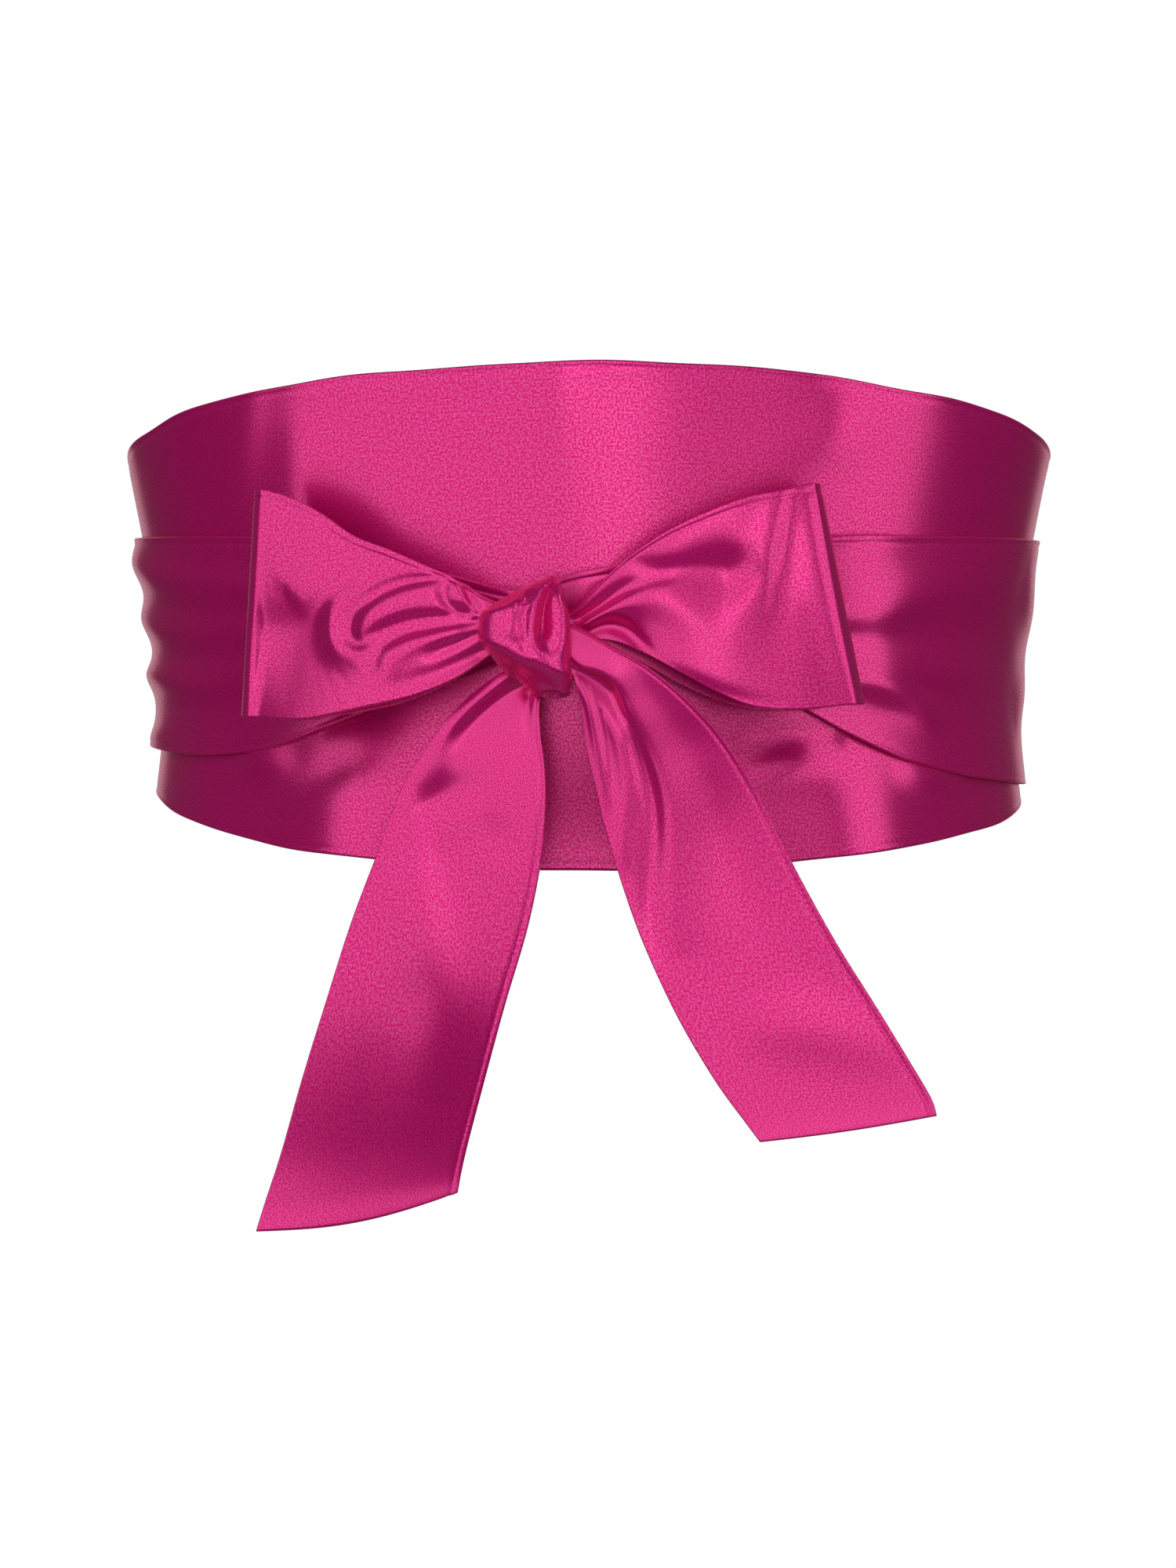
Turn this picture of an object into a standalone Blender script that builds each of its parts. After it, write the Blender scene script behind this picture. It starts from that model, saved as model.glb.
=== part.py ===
"""Satin obi sash: a shaped front panel whose two wide ties cross behind the waist, come back over
the panel and are tied in a bow at the front.  Every stretch of cloth is a wall of its own.

Run with: blender --background --python part.py
Tables are in millimetres and degrees; Blender's own unit is the metre.
Frame: +Z up, the front faces -Y, +X is to the right of someone who looks at the bow.
The origin is on the axis of the waist, at the height where the bow is tied."""

import math
from collections import namedtuple

import bmesh
import bpy
from mathutils import Vector

MM = 0.001

# ---- driving dimensions -------------------------------------------------------------------
WAIST_HALF_WIDTH = 124.0  # the narrowest half width of the worn form, over the panel
WAIST_DEPTH_RATIO = 0.74  # how deep the form is for its width
WAIST_LOW = -26.0  # height of the narrowest place
FLARE_SLOPE = 0.225  # how fast the form widens well above and below it
FLARE_ROUND = 30.0  # how softly that begins
FRONT_FLARE = 0.3  # the front and the back are straighter: their share of the sides' flare

PANEL_WALL = 2.0  # two layers of satin with an interlining between them
TIE_WALL = 1.5  # two layers of satin
SEAM_GAP = 0.35

PANEL_TOP = 69.0  # at the centre front
PANEL_BOTTOM = -73.5
PANEL_END = 135.0  # degrees from the centre front to the seam where a tie is sewn on
EDGE_TURN = 1.25  # the edges fall away from the centre front as 1 - cos(EDGE_TURN * angle)
TOP_FALL = {"left": 17.6, "right": 17.0}
BOTTOM_RISE = {"left": 16.8, "right": 14.3}

# ---- the ties, from the panel's end seam round the back and over the front ------------------
# turn: degrees round the waist from the centre front, + to the right; low, high: the tie's edges;
# out: its outer face, from the worn form, 0.6 more than its wall where it lies on other cloth
TieRow = namedtuple("TieRow", "turn low high out")
RIGHT_WRAP = (  # sewn to the panel's left end, it comes forward on the right
    (-135.2, -40.0, 34.0, 0.0),
    (-152.0, -39.0, 22.0, 0.0),
    (-164.0, -38.0, 4.0, 0.0),
    (-172.0, -37.5, -4.0, 0.0),
    (-180.0, -38.0, -4.2, 1.1),
    (-188.0, -39.0, -4.0, 2.1),
    (-196.0, -41.0, 2.0, 2.1),
    (-210.0, -44.0, 21.0, 2.1),
    (-232.0, -47.0, 25.0, 2.1),
    (-270.0, -49.2, 21.8, 2.1),
    (-300.0, -47.2, 21.4, 2.1),
    (-315.0, -42.1, 21.1, 2.3),
    (-325.0, -34.4, 20.9, 2.8),
    (-335.0, -24.4, 19.2, 3.6),
    (-345.0, -17.6, 16.4, 5.0),
    (-355.0, -13.4, 12.6, 6.8),
    (-361.6, -10.6, 9.6, 8.2),
    (-365.5, -9.0, 7.0, 11.5),
)
LEFT_WRAP = (  # sewn to the panel's right end, it comes forward on the left
    (135.2, -45.0, 35.0, 0.0),
    (152.0, -30.0, 34.5, 0.0),
    (164.0, -12.0, 33.5, 0.0),
    (172.0, -3.2, 32.5, 0.0),
    (180.0, -3.0, 32.0, 1.1),
    (188.0, -3.2, 31.5, 2.1),
    (196.0, -9.0, 31.0, 2.1),
    (210.0, -28.0, 29.5, 2.1),
    (232.0, -37.0, 26.0, 2.1),
    (270.0, -38.2, 22.7, 2.1),
    (300.0, -40.9, 21.6, 2.1),
    (315.0, -38.8, 20.8, 2.3),
    (325.0, -32.6, 18.6, 2.8),
    (335.0, -25.6, 14.5, 4.0),
    (343.5, -20.4, 9.0, 6.4),
    (351.5, -14.5, 4.5, 12.0),
)

# ---- the bow -------------------------------------------------------------------------------
# low_side, low, low_out: the band's lower edge on the front layer and its depth; high_side, high,
# high_out: its upper edge; back: depth of the back layer; drop: how much lower that layer lies
LoopRow = namedtuple("LoopRow", "low_side low low_out high_side high high_out back drop")
LEFT_LOOP = (
    (-26.0, -12.5, -111.5, -24.0, 0.5, -111.5, -106.5, 0.4),
    (-31.5, -16.5, -113.5, -30.5, 3.6, -112.6, -105.5, 0.4),
    (-38.5, -20.6, -114.6, -37.2, 8.0, -112.6, -103.6, 0.6),
    (-49.0, -24.6, -114.6, -45.0, 11.6, -111.2, -101.0, 1.2),
    (-60.0, -27.0, -112.6, -55.5, 16.2, -108.2, -97.4, 1.6),
    (-71.0, -29.2, -108.8, -65.5, 20.2, -104.4, -93.4, 1.2),
    (-80.0, -30.8, -104.2, -75.0, 26.6, -100.4, -89.6, 0.6),
    (-87.0, -30.8, -99.2, -82.0, 30.4, -97.2, -86.6, 0.2),
    (-93.4, -30.4, -93.6, -90.4, 33.2, -93.8, -83.0, 0.0),
)
LEFT_FOLD = {"low": -97.3, "high": -93.6}  # where the band turns back, at its two edges
RIGHT_LOOP = (
    (-9.0, -8.6, -108.0, -9.0, -2.4, -108.0, -104.0, 1.0),
    (-2.0, -9.4, -109.6, -3.0, -0.6, -109.6, -103.6, 1.4),
    (6.0, -9.2, -111.0, 3.4, 6.4, -111.0, -103.0, 2.4),
    (14.0, -12.0, -112.4, 10.8, 13.4, -112.4, -102.0, 3.0),
    (25.0, -18.0, -113.4, 21.6, 20.8, -113.6, -100.2, 3.2),
    (36.0, -23.8, -113.4, 33.0, 26.2, -113.8, -98.0, 2.2),
    (47.0, -27.8, -112.0, 44.2, 30.4, -112.8, -95.0, 0.8),
    (60.0, -28.4, -109.2, 54.6, 32.6, -110.6, -91.6, 0.2),
    (73.0, -27.0, -105.0, 62.4, 34.6, -107.6, -88.4, 0.0),
)
RIGHT_FOLD = {"low": 77.4, "high": 65.0}

# left, right: the tail's two edges in the front view, each with its height; left_out and
# right_out: their depth
TailRow = namedtuple("TailRow", "left left_z right right_z left_out right_out")
LEFT_TAIL = (
    (-20.0, -14.6, -13.0, -19.6, -105.5, -105.5),
    (-22.6, -17.4, -12.6, -22.4, -105.6, -106.2),
    (-29.0, -21.8, -13.4, -28.0, -105.6, -107.4),
    (-37.4, -29.4, -13.0, -35.6, -104.8, -108.6),
    (-45.4, -40.4, -11.8, -45.0, -103.4, -109.6),
    (-52.0, -51.0, -11.6, -55.4, -102.0, -109.6),
    (-58.6, -68.4, -12.8, -70.0, -100.4, -108.2),
    (-66.0, -87.8, -16.6, -89.0, -98.8, -106.0),
    (-73.2, -110.0, -22.8, -110.0, -97.0, -103.2),
    (-80.0, -131.4, -28.6, -131.0, -95.0, -100.0),
    (-86.0, -152.0, -33.4, -149.0, -93.6, -97.4),
    (-90.6, -166.0, -35.6, -158.6, -93.4, -96.2),
    (-93.2, -174.4, -36.6, -163.6, -93.6, -96.0),
)
RIGHT_TAIL = (
    (-8.6, -13.6, -8.6, -4.4, -113.4, -113.6),
    (-5.0, -17.6, -3.6, -5.8, -113.2, -114.4),
    (-3.0, -22.4, 4.6, -10.0, -112.2, -115.2),
    (-1.6, -29.4, 16.4, -16.6, -110.8, -115.4),
    (-0.6, -38.0, 27.4, -25.4, -109.2, -114.4),
    (1.8, -48.4, 37.6, -36.4, -108.0, -112.4),
    (5.0, -62.0, 47.6, -52.4, -107.0, -110.4),
    (9.6, -77.6, 57.8, -73.0, -106.2, -108.8),
    (16.0, -95.0, 69.0, -93.2, -105.6, -107.8),
    (25.0, -114.3, 80.4, -111.4, -105.2, -107.0),
    (35.2, -131.6, 89.8, -126.8, -105.0, -106.6),
    (43.6, -143.2, 95.4, -136.4, -105.0, -106.4),
    (47.8, -148.8, 97.0, -141.4, -105.2, -106.4),
)

# height, left, right: the knot's outline in the front view; back, front: its depth
KnotRow = namedtuple("KnotRow", "height left right back front")
KNOT = (
    (-25.6, -12.6, -6.6, -108.0, -113.0),
    (-24.4, -15.2, -5.2, -105.6, -116.4),
    (-21.6, -18.4, -4.9, -103.8, -118.8),
    (-18.0, -23.2, -4.7, -102.8, -120.6),
    (-14.0, -26.8, -4.4, -102.2, -122.0),
    (-9.6, -30.0, -4.4, -101.9, -122.4),
    (-5.0, -30.4, -4.8, -101.9, -121.6),
    (-1.0, -29.0, -5.5, -102.0, -120.6),
    (3.0, -22.6, -6.6, -102.6, -118.6),
    (6.4, -15.6, -7.7, -104.4, -115.6),
    (8.4, -11.2, -8.6, -107.4, -112.0),
)
KNOT_SIDES = 20

# faces along and across each kind of cloth
PANEL_GRID = (58, 7)
WRAP_GRID = (48, 7)
LOOP_GRID = (28, 7)
TAIL_GRID = (18, 6)

# ---- the largest folds ----------------------------------------------------------------------
# A fold runs from its start to its end, both (side, height) in the front view; reach is its half
# width and rise its height.  A fold of a tie only lifts it off the cloth that it lies on.
Fold = namedtuple("Fold", "start end reach rise")
FOLD_END = 0.05  # how little of its rise a fold keeps at its ends
LEFT_WRAP_FOLDS = (
    ((-128.0, 14.0), (-40.0, 3.0), 5.0, 2.2),
    ((-128.0, -2.0), (-36.0, -4.0), 4.0, 2.6),
    ((-128.0, -19.0), (-38.0, -11.0), 4.5, 2.8),
)
RIGHT_WRAP_FOLDS = (
    ((118.0, 0.0), (20.0, 4.0), 5.5, 2.2),
    ((96.0, -24.0), (14.0, -5.0), 5.0, 2.2),
    ((120.0, -30.0), (80.0, -34.0), 6.0, 1.6),
)
PANEL_FOLDS = (
    ((72.0, -38.0), (32.0, -44.0), 4.5, -1.8),
    ((-4.5, 69.0), (-4.5, 34.0), 7.0, -1.2),
)
LEFT_LOOP_FOLDS = (
    ((-84.0, -4.0), (-72.0, 2.0), 9.0, -2.6),
    ((-73.0, -5.0), (-46.0, 2.0), 4.0, 1.6),
)
RIGHT_LOOP_FOLDS = (
    ((46.0, 9.0), (18.0, 9.0), 6.5, -2.6),
    ((56.0, -12.0), (6.0, -4.0), 6.0, 2.0),
)
LEFT_TAIL_FOLDS = (((-30.0, -32.0), (-58.0, -110.0), 7.0, -3.0),)
RIGHT_TAIL_FOLDS = (((6.0, -22.0), (24.0, -96.0), 5.0, -3.4),)

SATIN_MAGENTA = (0.62, 0.016, 0.17, 1.0)
SATIN_ROUGHNESS = 0.4
SATIN_METALLIC = 0.3


# ---- helpers --------------------------------------------------------------------------------
def smooth_row(Row, rows, share):
    """The table's row at share 0 to 1 of its length, on a smooth curve through all rows."""
    place = share * (len(rows) - 1)
    index = min(int(place), len(rows) - 2)
    t = place - index
    before, here = rows[max(index - 1, 0)], rows[index]
    after, beyond = rows[index + 1], rows[min(index + 2, len(rows) - 1)]
    values = []
    for a, b, c, d in zip(before, here, after, beyond):
        bend, twist = 2 * a - 5 * b + 4 * c - d, 3 * b - a - 3 * c + d
        values.append(0.5 * (2 * b + (c - a) * t + bend * t**2 + twist * t**3))
    return Row(*values)


def share_at(rows, turn):
    """How far along the table's rows a turn, their first column, lies, 0 to 1."""
    for index, (row, beyond) in enumerate(zip(rows, rows[1:])):
        inside = (turn - row[0]) / (beyond[0] - row[0])
        if inside <= 1:
            return (index + max(inside, 0.0)) / (len(rows) - 1)
    return 1.0


def mix(low, high, share):
    return low + (high - low) * share


def half_width(height):
    flare = math.hypot(height - WAIST_LOW, FLARE_ROUND) - FLARE_ROUND
    return WAIST_HALF_WIDTH + FLARE_SLOPE * flare


def on_waist(turn, height, out):
    """A point that far outside the worn form, in millimetres."""
    angle = math.radians(turn)
    wide = half_width(height)
    deep = (WAIST_HALF_WIDTH + (wide - WAIST_HALF_WIDTH) * FRONT_FLARE) * WAIST_DEPTH_RATIO
    across = Vector((math.sin(angle) / wide, -math.cos(angle) / deep)).normalized()
    return Vector(
        (wide * math.sin(angle) + out * across.x, -deep * math.cos(angle) + out * across.y, height)
    )


def fold_height(folds, side, height):
    """How far the folds lift the cloth at one place of the front view."""
    total = 0.0
    here = Vector((side, height))
    for fold in (Fold(*row) for row in folds):
        start = Vector(fold.start)
        run = Vector(fold.end) - start
        along = min(max((here - start).dot(run) / run.length_squared, 0.0), 1.0)
        off = (here - start - run * along).length / fold.reach
        ease = math.sin(math.pi * mix(FOLD_END, 1 - FOLD_END, along))
        total += fold.rise * ease * math.exp(-off * off)
    return total


def satin(name):
    material = bpy.data.materials.new(name)
    material.use_nodes = True
    shader = material.node_tree.nodes["Principled BSDF"]
    shader.inputs["Base Color"].default_value = SATIN_MAGENTA
    shader.inputs["Roughness"].default_value = SATIN_ROUGHNESS
    shader.inputs["Metallic"].default_value = SATIN_METALLIC
    return material


def stand_up(bm, name):
    """Makes the bmesh, which is in millimetres, one object in metres."""
    bmesh.ops.scale(bm, vec=(MM, MM, MM), verts=bm.verts)
    mesh = bpy.data.meshes.new(name)
    bm.to_mesh(mesh)
    bm.free()
    mesh.materials.append(satin(name + "_satin"))
    mesh.shade_smooth()
    piece = bpy.data.objects.new(name, mesh)
    bpy.context.scene.collection.objects.link(piece)
    return piece


def cloth(name, surface, grid, wall, flip=False, cutter=None):
    """A wall of cloth: a flat grid laid on surface(along, up), thickened away from its outer face.
    What would reach into the knot is cut off at the cutter."""
    bm = bmesh.new()
    bmesh.ops.create_grid(bm, x_segments=grid[0], y_segments=grid[1], size=0.5)
    for vert in bm.verts:
        vert.co = surface(vert.co.x + 0.5, vert.co.y + 0.5)
    if flip:
        bmesh.ops.reverse_faces(bm, faces=bm.faces)
    piece = stand_up(bm, name)
    thick = piece.modifiers.new("wall", "SOLIDIFY")
    thick.thickness = wall * MM
    thick.offset = -1.0
    thick.use_even_offset = True
    thick.use_quality_normals = True
    if cutter:
        cut = piece.modifiers.new("end at the knot", "BOOLEAN")
        cut.operation = "DIFFERENCE"
        cut.object = cutter
    return piece


# ---- the front panel ------------------------------------------------------------------------
def panel_edges(turn):
    """(bottom, top) of the shaped panel at a turn round the waist."""
    side = "right" if turn > 0 else "left"
    fall = 1 - math.cos(math.radians(EDGE_TURN * turn))
    return PANEL_BOTTOM + BOTTOM_RISE[side] * fall, PANEL_TOP - TOP_FALL[side] * fall


def panel_surface(along, up):
    turn = mix(-PANEL_END, PANEL_END, along)
    height = mix(*panel_edges(turn), up)
    flat = on_waist(turn, height, 0.0)
    if flat.y > 0.0:
        return flat
    return on_waist(turn, height, fold_height(PANEL_FOLDS, flat.x, height))


# ---- the ties where they wrap the waist -------------------------------------------------------
def wrap_surface(rows, folds):
    def surface(along, up):
        turn = mix(rows[0][0], rows[-1][0], along)
        row = smooth_row(TieRow, rows, share_at(rows, turn))
        height = mix(row.low, row.high, up)
        flat = on_waist(turn, height, row.out)
        if flat.y > 0.0:
            return flat
        return on_waist(turn, height, row.out + fold_height(folds, flat.x, height))

    return surface


# ---- the bow ----------------------------------------------------------------------------------
FRONT_SHARE = 0.43  # of the band's length lies in front, as much lies behind, the rest turns


def loop_surface(rows, fold_edge, folds):
    """The band leaves the knot in front, turns at the fold and comes back behind."""

    def layer(share, up, in_front):
        row = smooth_row(LoopRow, rows, share)
        side, height = mix(row.low_side, row.high_side, up), mix(row.low, row.high, up)
        if in_front:
            front = mix(row.low_out, row.high_out, up)
            return Vector((side, front - fold_height(folds, side, height), height))
        return Vector((side, row.back, height - row.drop))

    def surface(along, up):
        if along <= FRONT_SHARE:
            return layer(along / FRONT_SHARE, up, True)
        if along >= 1 - FRONT_SHARE:
            return layer((1 - along) / FRONT_SHARE, up, False)
        front, back = layer(1.0, up, True), layer(1.0, up, False)
        turned = (along - FRONT_SHARE) / (1 - 2 * FRONT_SHARE)
        place = front.lerp(back, 0.5 - 0.5 * math.cos(math.pi * turned))
        tip = mix(fold_edge["low"], fold_edge["high"], up)
        place.x += (tip - front.x) * math.sin(math.pi * turned)
        return place

    return surface


def tail_surface(rows, folds):
    def surface(along, up):
        row = smooth_row(TailRow, rows, along)
        side, height = mix(row.left, row.right, up), mix(row.left_z, row.right_z, up)
        out = mix(row.left_out, row.right_out, up) - fold_height(folds, side, height)
        return Vector((side, out, height))

    return surface


def knot(name, grown=0.0):
    """Rings up the knot's height, bridged into one rounded solid, grown all round by so much."""
    bm = bmesh.new()
    loops = []
    rows = [KnotRow(*row) for row in KNOT]
    bottom, top = rows[0].height, rows[-1].height
    for row in rows:
        ring = bmesh.ops.create_circle(bm, segments=KNOT_SIDES, radius=1.0)["verts"]
        wide, deep = (row.right - row.left) / 2 + grown, (row.back - row.front) / 2 + grown
        level = mix(bottom - grown, top + grown, (row.height - bottom) / (top - bottom))
        bmesh.ops.scale(bm, vec=(wide, deep, 1.0), verts=ring)
        middle = ((row.left + row.right) / 2, (row.back + row.front) / 2, level)
        bmesh.ops.translate(bm, vec=middle, verts=ring)
        loops.append([edge for edge in bm.edges if edge.is_wire and edge.verts[0] in ring])
    bmesh.ops.bridge_loops(bm, edges=[edge for loop in loops for edge in loop])
    for loop in (loops[0], loops[-1]):
        bmesh.ops.contextual_create(bm, geom=loop)
    bmesh.ops.recalc_face_normals(bm, faces=bm.faces)
    return stand_up(bm, name)


def main():
    for old in list(bpy.data.objects):
        bpy.data.objects.remove(old)
    knot("bow_knot")
    cutter = knot("knot_cutter", SEAM_GAP)
    cutter.hide_render = True
    cutter.display_type = "WIRE"
    cloth("front_panel", panel_surface, PANEL_GRID, PANEL_WALL)
    ties = (
        ("tie_wrap_right", wrap_surface(RIGHT_WRAP, RIGHT_WRAP_FOLDS), WRAP_GRID, True),
        ("tie_wrap_left", wrap_surface(LEFT_WRAP, LEFT_WRAP_FOLDS), WRAP_GRID, False),
        ("bow_loop_left", loop_surface(LEFT_LOOP, LEFT_FOLD, LEFT_LOOP_FOLDS), LOOP_GRID, True),
        ("bow_loop_right", loop_surface(RIGHT_LOOP, RIGHT_FOLD, RIGHT_LOOP_FOLDS), LOOP_GRID, False),
        ("tail_left", tail_surface(LEFT_TAIL, LEFT_TAIL_FOLDS), TAIL_GRID, True),
        ("tail_right", tail_surface(RIGHT_TAIL, RIGHT_TAIL_FOLDS), TAIL_GRID, True),
    )
    for name, surface, grid, flip in ties:
        cloth(name, surface, grid, TIE_WALL, flip, cutter)


main()
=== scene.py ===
# %% [markdown]
# # A satin sash tied in a bow
#
# The sash is a shaped front panel with a wide tie sewn to each end.  The ties cross behind the
# waist, come back over the panel and are tied in a bow.  Each stretch of cloth is made in the same
# way: a flat grid is laid on a surface that short tables describe, its folds are raised,
# and a Solidify and a Subdivision Surface modifier turn it into cloth with rounded edges.
#
# The imported model is the frame.  It fixes where everything is, and the pieces below stand for
# its plain solids.

import math
from collections import namedtuple

import bmesh
import bpy
import numpy as np
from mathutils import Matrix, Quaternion, Vector


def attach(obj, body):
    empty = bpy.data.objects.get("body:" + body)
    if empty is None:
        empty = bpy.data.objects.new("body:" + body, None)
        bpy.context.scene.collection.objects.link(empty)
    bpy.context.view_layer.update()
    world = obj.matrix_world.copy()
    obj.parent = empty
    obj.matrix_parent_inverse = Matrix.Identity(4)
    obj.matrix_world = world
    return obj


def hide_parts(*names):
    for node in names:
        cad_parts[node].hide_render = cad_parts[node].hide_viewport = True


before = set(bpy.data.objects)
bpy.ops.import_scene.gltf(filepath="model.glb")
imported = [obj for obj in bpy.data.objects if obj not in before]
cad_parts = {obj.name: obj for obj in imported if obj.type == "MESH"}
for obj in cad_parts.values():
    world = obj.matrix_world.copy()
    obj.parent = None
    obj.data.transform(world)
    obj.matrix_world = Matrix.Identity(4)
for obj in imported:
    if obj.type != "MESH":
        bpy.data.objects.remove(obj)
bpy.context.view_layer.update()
MM = 0.001

# %% [markdown]
# ## The waist form
#
# Panel and ties lie on an oval waist.  Its narrowest place is a little below the bow, and it
# widens above and below it.  The frame gives the widths: the panel's node is as wide as the rim.
# Tables are in millimetres and degrees.  A turn of 0 is the centre front, + is to the right.

# %% The waist form
WAIST_HALF_WIDTH = 124.0
WAIST_DEPTH_RATIO = 0.74
WAIST_LOW = -26.0
FLARE_SLOPE = 0.225
FLARE_ROUND = 30.0
FRONT_FLARE = 0.3  # the front and the back flare less than the sides
MM_PER_DEGREE = 1.95  # round the waist, on average


def mix(low, high, share):
    return low + (high - low) * share


def half_width(height):
    return WAIST_HALF_WIDTH + FLARE_SLOPE * (np.hypot(height - WAIST_LOW, FLARE_ROUND) - FLARE_ROUND)


def on_waist(turn, height, out):
    """Points that far outside the worn form, one row each."""
    angle = np.radians(turn)
    wide = half_width(height)
    deep = (WAIST_HALF_WIDTH + (wide - WAIST_HALF_WIDTH) * FRONT_FLARE) * WAIST_DEPTH_RATIO
    normal = np.stack([np.sin(angle) / wide, -np.cos(angle) / deep], 1)
    normal /= np.linalg.norm(normal, axis=1, keepdims=True)
    x = wide * np.sin(angle) + out * normal[:, 0]
    y = -deep * np.cos(angle) + out * normal[:, 1]
    return np.stack([x, y, height + 0 * x], 1)


print("waist", 2 * WAIST_HALF_WIDTH, "mm wide at its narrowest")

# %% [markdown]
# ## Reading tables and raising folds
#
# A table row describes one section of a piece.  `smooth` reads a table anywhere along its
# length.  A fold is a short table too: a few points along its crest, each with its rise and how far
# it reaches to the left and to the right of someone who walks along it.  An unequal reach makes the
# steep side and the gentle side that folded satin has, and a negative rise makes a hollow.

# %% Tables and folds
CREST_STEPS = 28


def smooth(rows, share):
    """The table read at shares 0 to 1 of its length, on smooth curves through its rows."""
    table = np.array(rows, float)
    place = np.clip(share, 0, 1) * (len(table) - 1)
    index = np.minimum(place.astype(int), len(table) - 2)
    t = (place - index)[:, None]
    a, b, c, d = (table[np.clip(index + k, 0, len(table) - 1)] for k in (-1, 0, 1, 2))
    bend, twist = 2 * a - 5 * b + 4 * c - d, 3 * b - a - 3 * c + d
    return 0.5 * (2 * b + (c - a) * t + bend * t**2 + twist * t**3)


def relief(folds, p, q):
    """The height that the folds (p, q, rise, left, right) give the cloth at places (p, q)."""
    total = np.zeros(len(p))
    place = np.stack([p, q], 1)[:, None]
    every = np.arange(len(p))
    for fold in folds:
        crest = smooth(fold, np.linspace(0, 1, CREST_STEPS))
        run = np.diff(crest[:, :2], axis=0)
        off = place - crest[:-1, :2]
        along = np.clip((off * run).sum(2) / (run * run).sum(1), 0, 1)
        miss = off - run * along[..., None]
        far = np.hypot(miss[..., 0], miss[..., 1])
        near = far.argmin(1)
        here = crest[near] + along[every, near][:, None] * (crest[near + 1] - crest[near])
        gap = miss[every, near]
        to_left = run[near, 0] * gap[:, 1] > run[near, 1] * gap[:, 0]
        reach = np.where(to_left, here[:, 3], here[:, 4])
        total += here[:, 2] * np.exp(-((far[every, near] / reach) ** 2))
    return total


print("folds are read at", CREST_STEPS, "steps along their crests")

# %% [markdown]
# ## Satin
#
# Satin's long floating threads reflect like many fine wires that run one way.  The gloss is sharp
# along the threads and wide across them, so the shader is anisotropic and takes its direction
# from the piece's own UV map, which is in metres along and across the cloth.  Half of the
# reflection is coloured by the dyed yarn, as a metal's is.  A group shared by every piece gives
# the grain, the faint diagonal of the weave, and the slight unevenness of the dye.

# %% The weave group
def weave_group():
    group = bpy.data.node_groups.new("satin weave", "ShaderNodeTree")
    faces = group.interface
    faces.new_socket("Cloth", in_out="INPUT", socket_type="NodeSocketVector")
    faces.new_socket("Light Dye", in_out="INPUT", socket_type="NodeSocketColor")
    faces.new_socket("Deep Dye", in_out="INPUT", socket_type="NodeSocketColor")
    faces.new_socket("Color", in_out="OUTPUT", socket_type="NodeSocketColor")
    faces.new_socket("Roughness", in_out="OUTPUT", socket_type="NodeSocketFloat")
    faces.new_socket("Sparkle", in_out="OUTPUT", socket_type="NodeSocketFloat")
    faces.new_socket("Height", in_out="OUTPUT", socket_type="NodeSocketFloat")
    nodes, links = group.nodes, group.links
    inside, outside = nodes.new("NodeGroupInput"), nodes.new("NodeGroupOutput")

    def noise(scale, detail, rough=0.5):
        node = nodes.new("ShaderNodeTexNoise")
        node.inputs["Scale"].default_value = scale
        node.inputs["Detail"].default_value = detail
        node.inputs["Roughness"].default_value = rough
        links.new(inside.outputs["Cloth"], node.inputs["Vector"])
        return node.outputs["Fac"]

    def spread(value, low, high, from_low=0.3, from_high=0.7):
        node = nodes.new("ShaderNodeMapRange")
        node.inputs["From Min"].default_value = from_low
        node.inputs["From Max"].default_value = from_high
        node.inputs["To Min"].default_value = low
        node.inputs["To Max"].default_value = high
        links.new(value, node.inputs["Value"])
        return node.outputs["Result"]

    def add(first, second):
        node = nodes.new("ShaderNodeMath")
        node.operation = "ADD"
        links.new(first, node.inputs[0])
        links.new(second, node.inputs[1])
        return node.outputs["Value"]

    grain = noise(GRAIN_PER_METRE, 2.0, 0.6)
    slub = noise(SLUB_PER_METRE, 2.0)
    twill = nodes.new("ShaderNodeTexWave")
    twill.bands_direction = "DIAGONAL"
    twill.inputs["Scale"].default_value = TWILL_PER_METRE
    twill.inputs["Distortion"].default_value = 1.2
    twill.inputs["Detail Scale"].default_value = 3.0
    links.new(inside.outputs["Cloth"], twill.inputs["Vector"])

    shade = add(spread(grain, 0.0, 0.8, from_low=0.34, from_high=0.66), spread(slub, 0.0, 0.2))
    blend = nodes.new("ShaderNodeMix")
    blend.data_type = "RGBA"
    links.new(shade, blend.inputs["Factor"])
    links.new(inside.outputs["Deep Dye"], blend.inputs["A"])
    links.new(inside.outputs["Light Dye"], blend.inputs["B"])
    links.new(blend.outputs["Result"], outside.inputs["Color"])
    links.new(spread(grain, *SATIN_ROUGHNESS), outside.inputs["Roughness"])
    sparkle = spread(grain, 0.0, 1.0, from_low=0.44, from_high=0.62)
    links.new(sparkle, outside.inputs["Sparkle"])
    ribs = spread(twill.outputs["Fac"], 0.0, TWILL_HEIGHT, from_low=0.0, from_high=1.0)
    links.new(add(spread(grain, 0.0, 1.0), ribs), outside.inputs["Height"])
    return group


GRAIN_PER_METRE = 2000.0
SLUB_PER_METRE = 120.0
TWILL_PER_METRE = 480.0
TWILL_HEIGHT = 0.35  # beside the grain's 1
SATIN_ROUGHNESS = (0.25, 0.30)
weave = weave_group()
print("weave group with", len(weave.nodes), "nodes")

# %% Satin materials
LIGHT_DYE = (0.67, 0.004, 0.200, 1.0)
DEEP_DYE = (0.61, 0.002, 0.165, 1.0)


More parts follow.
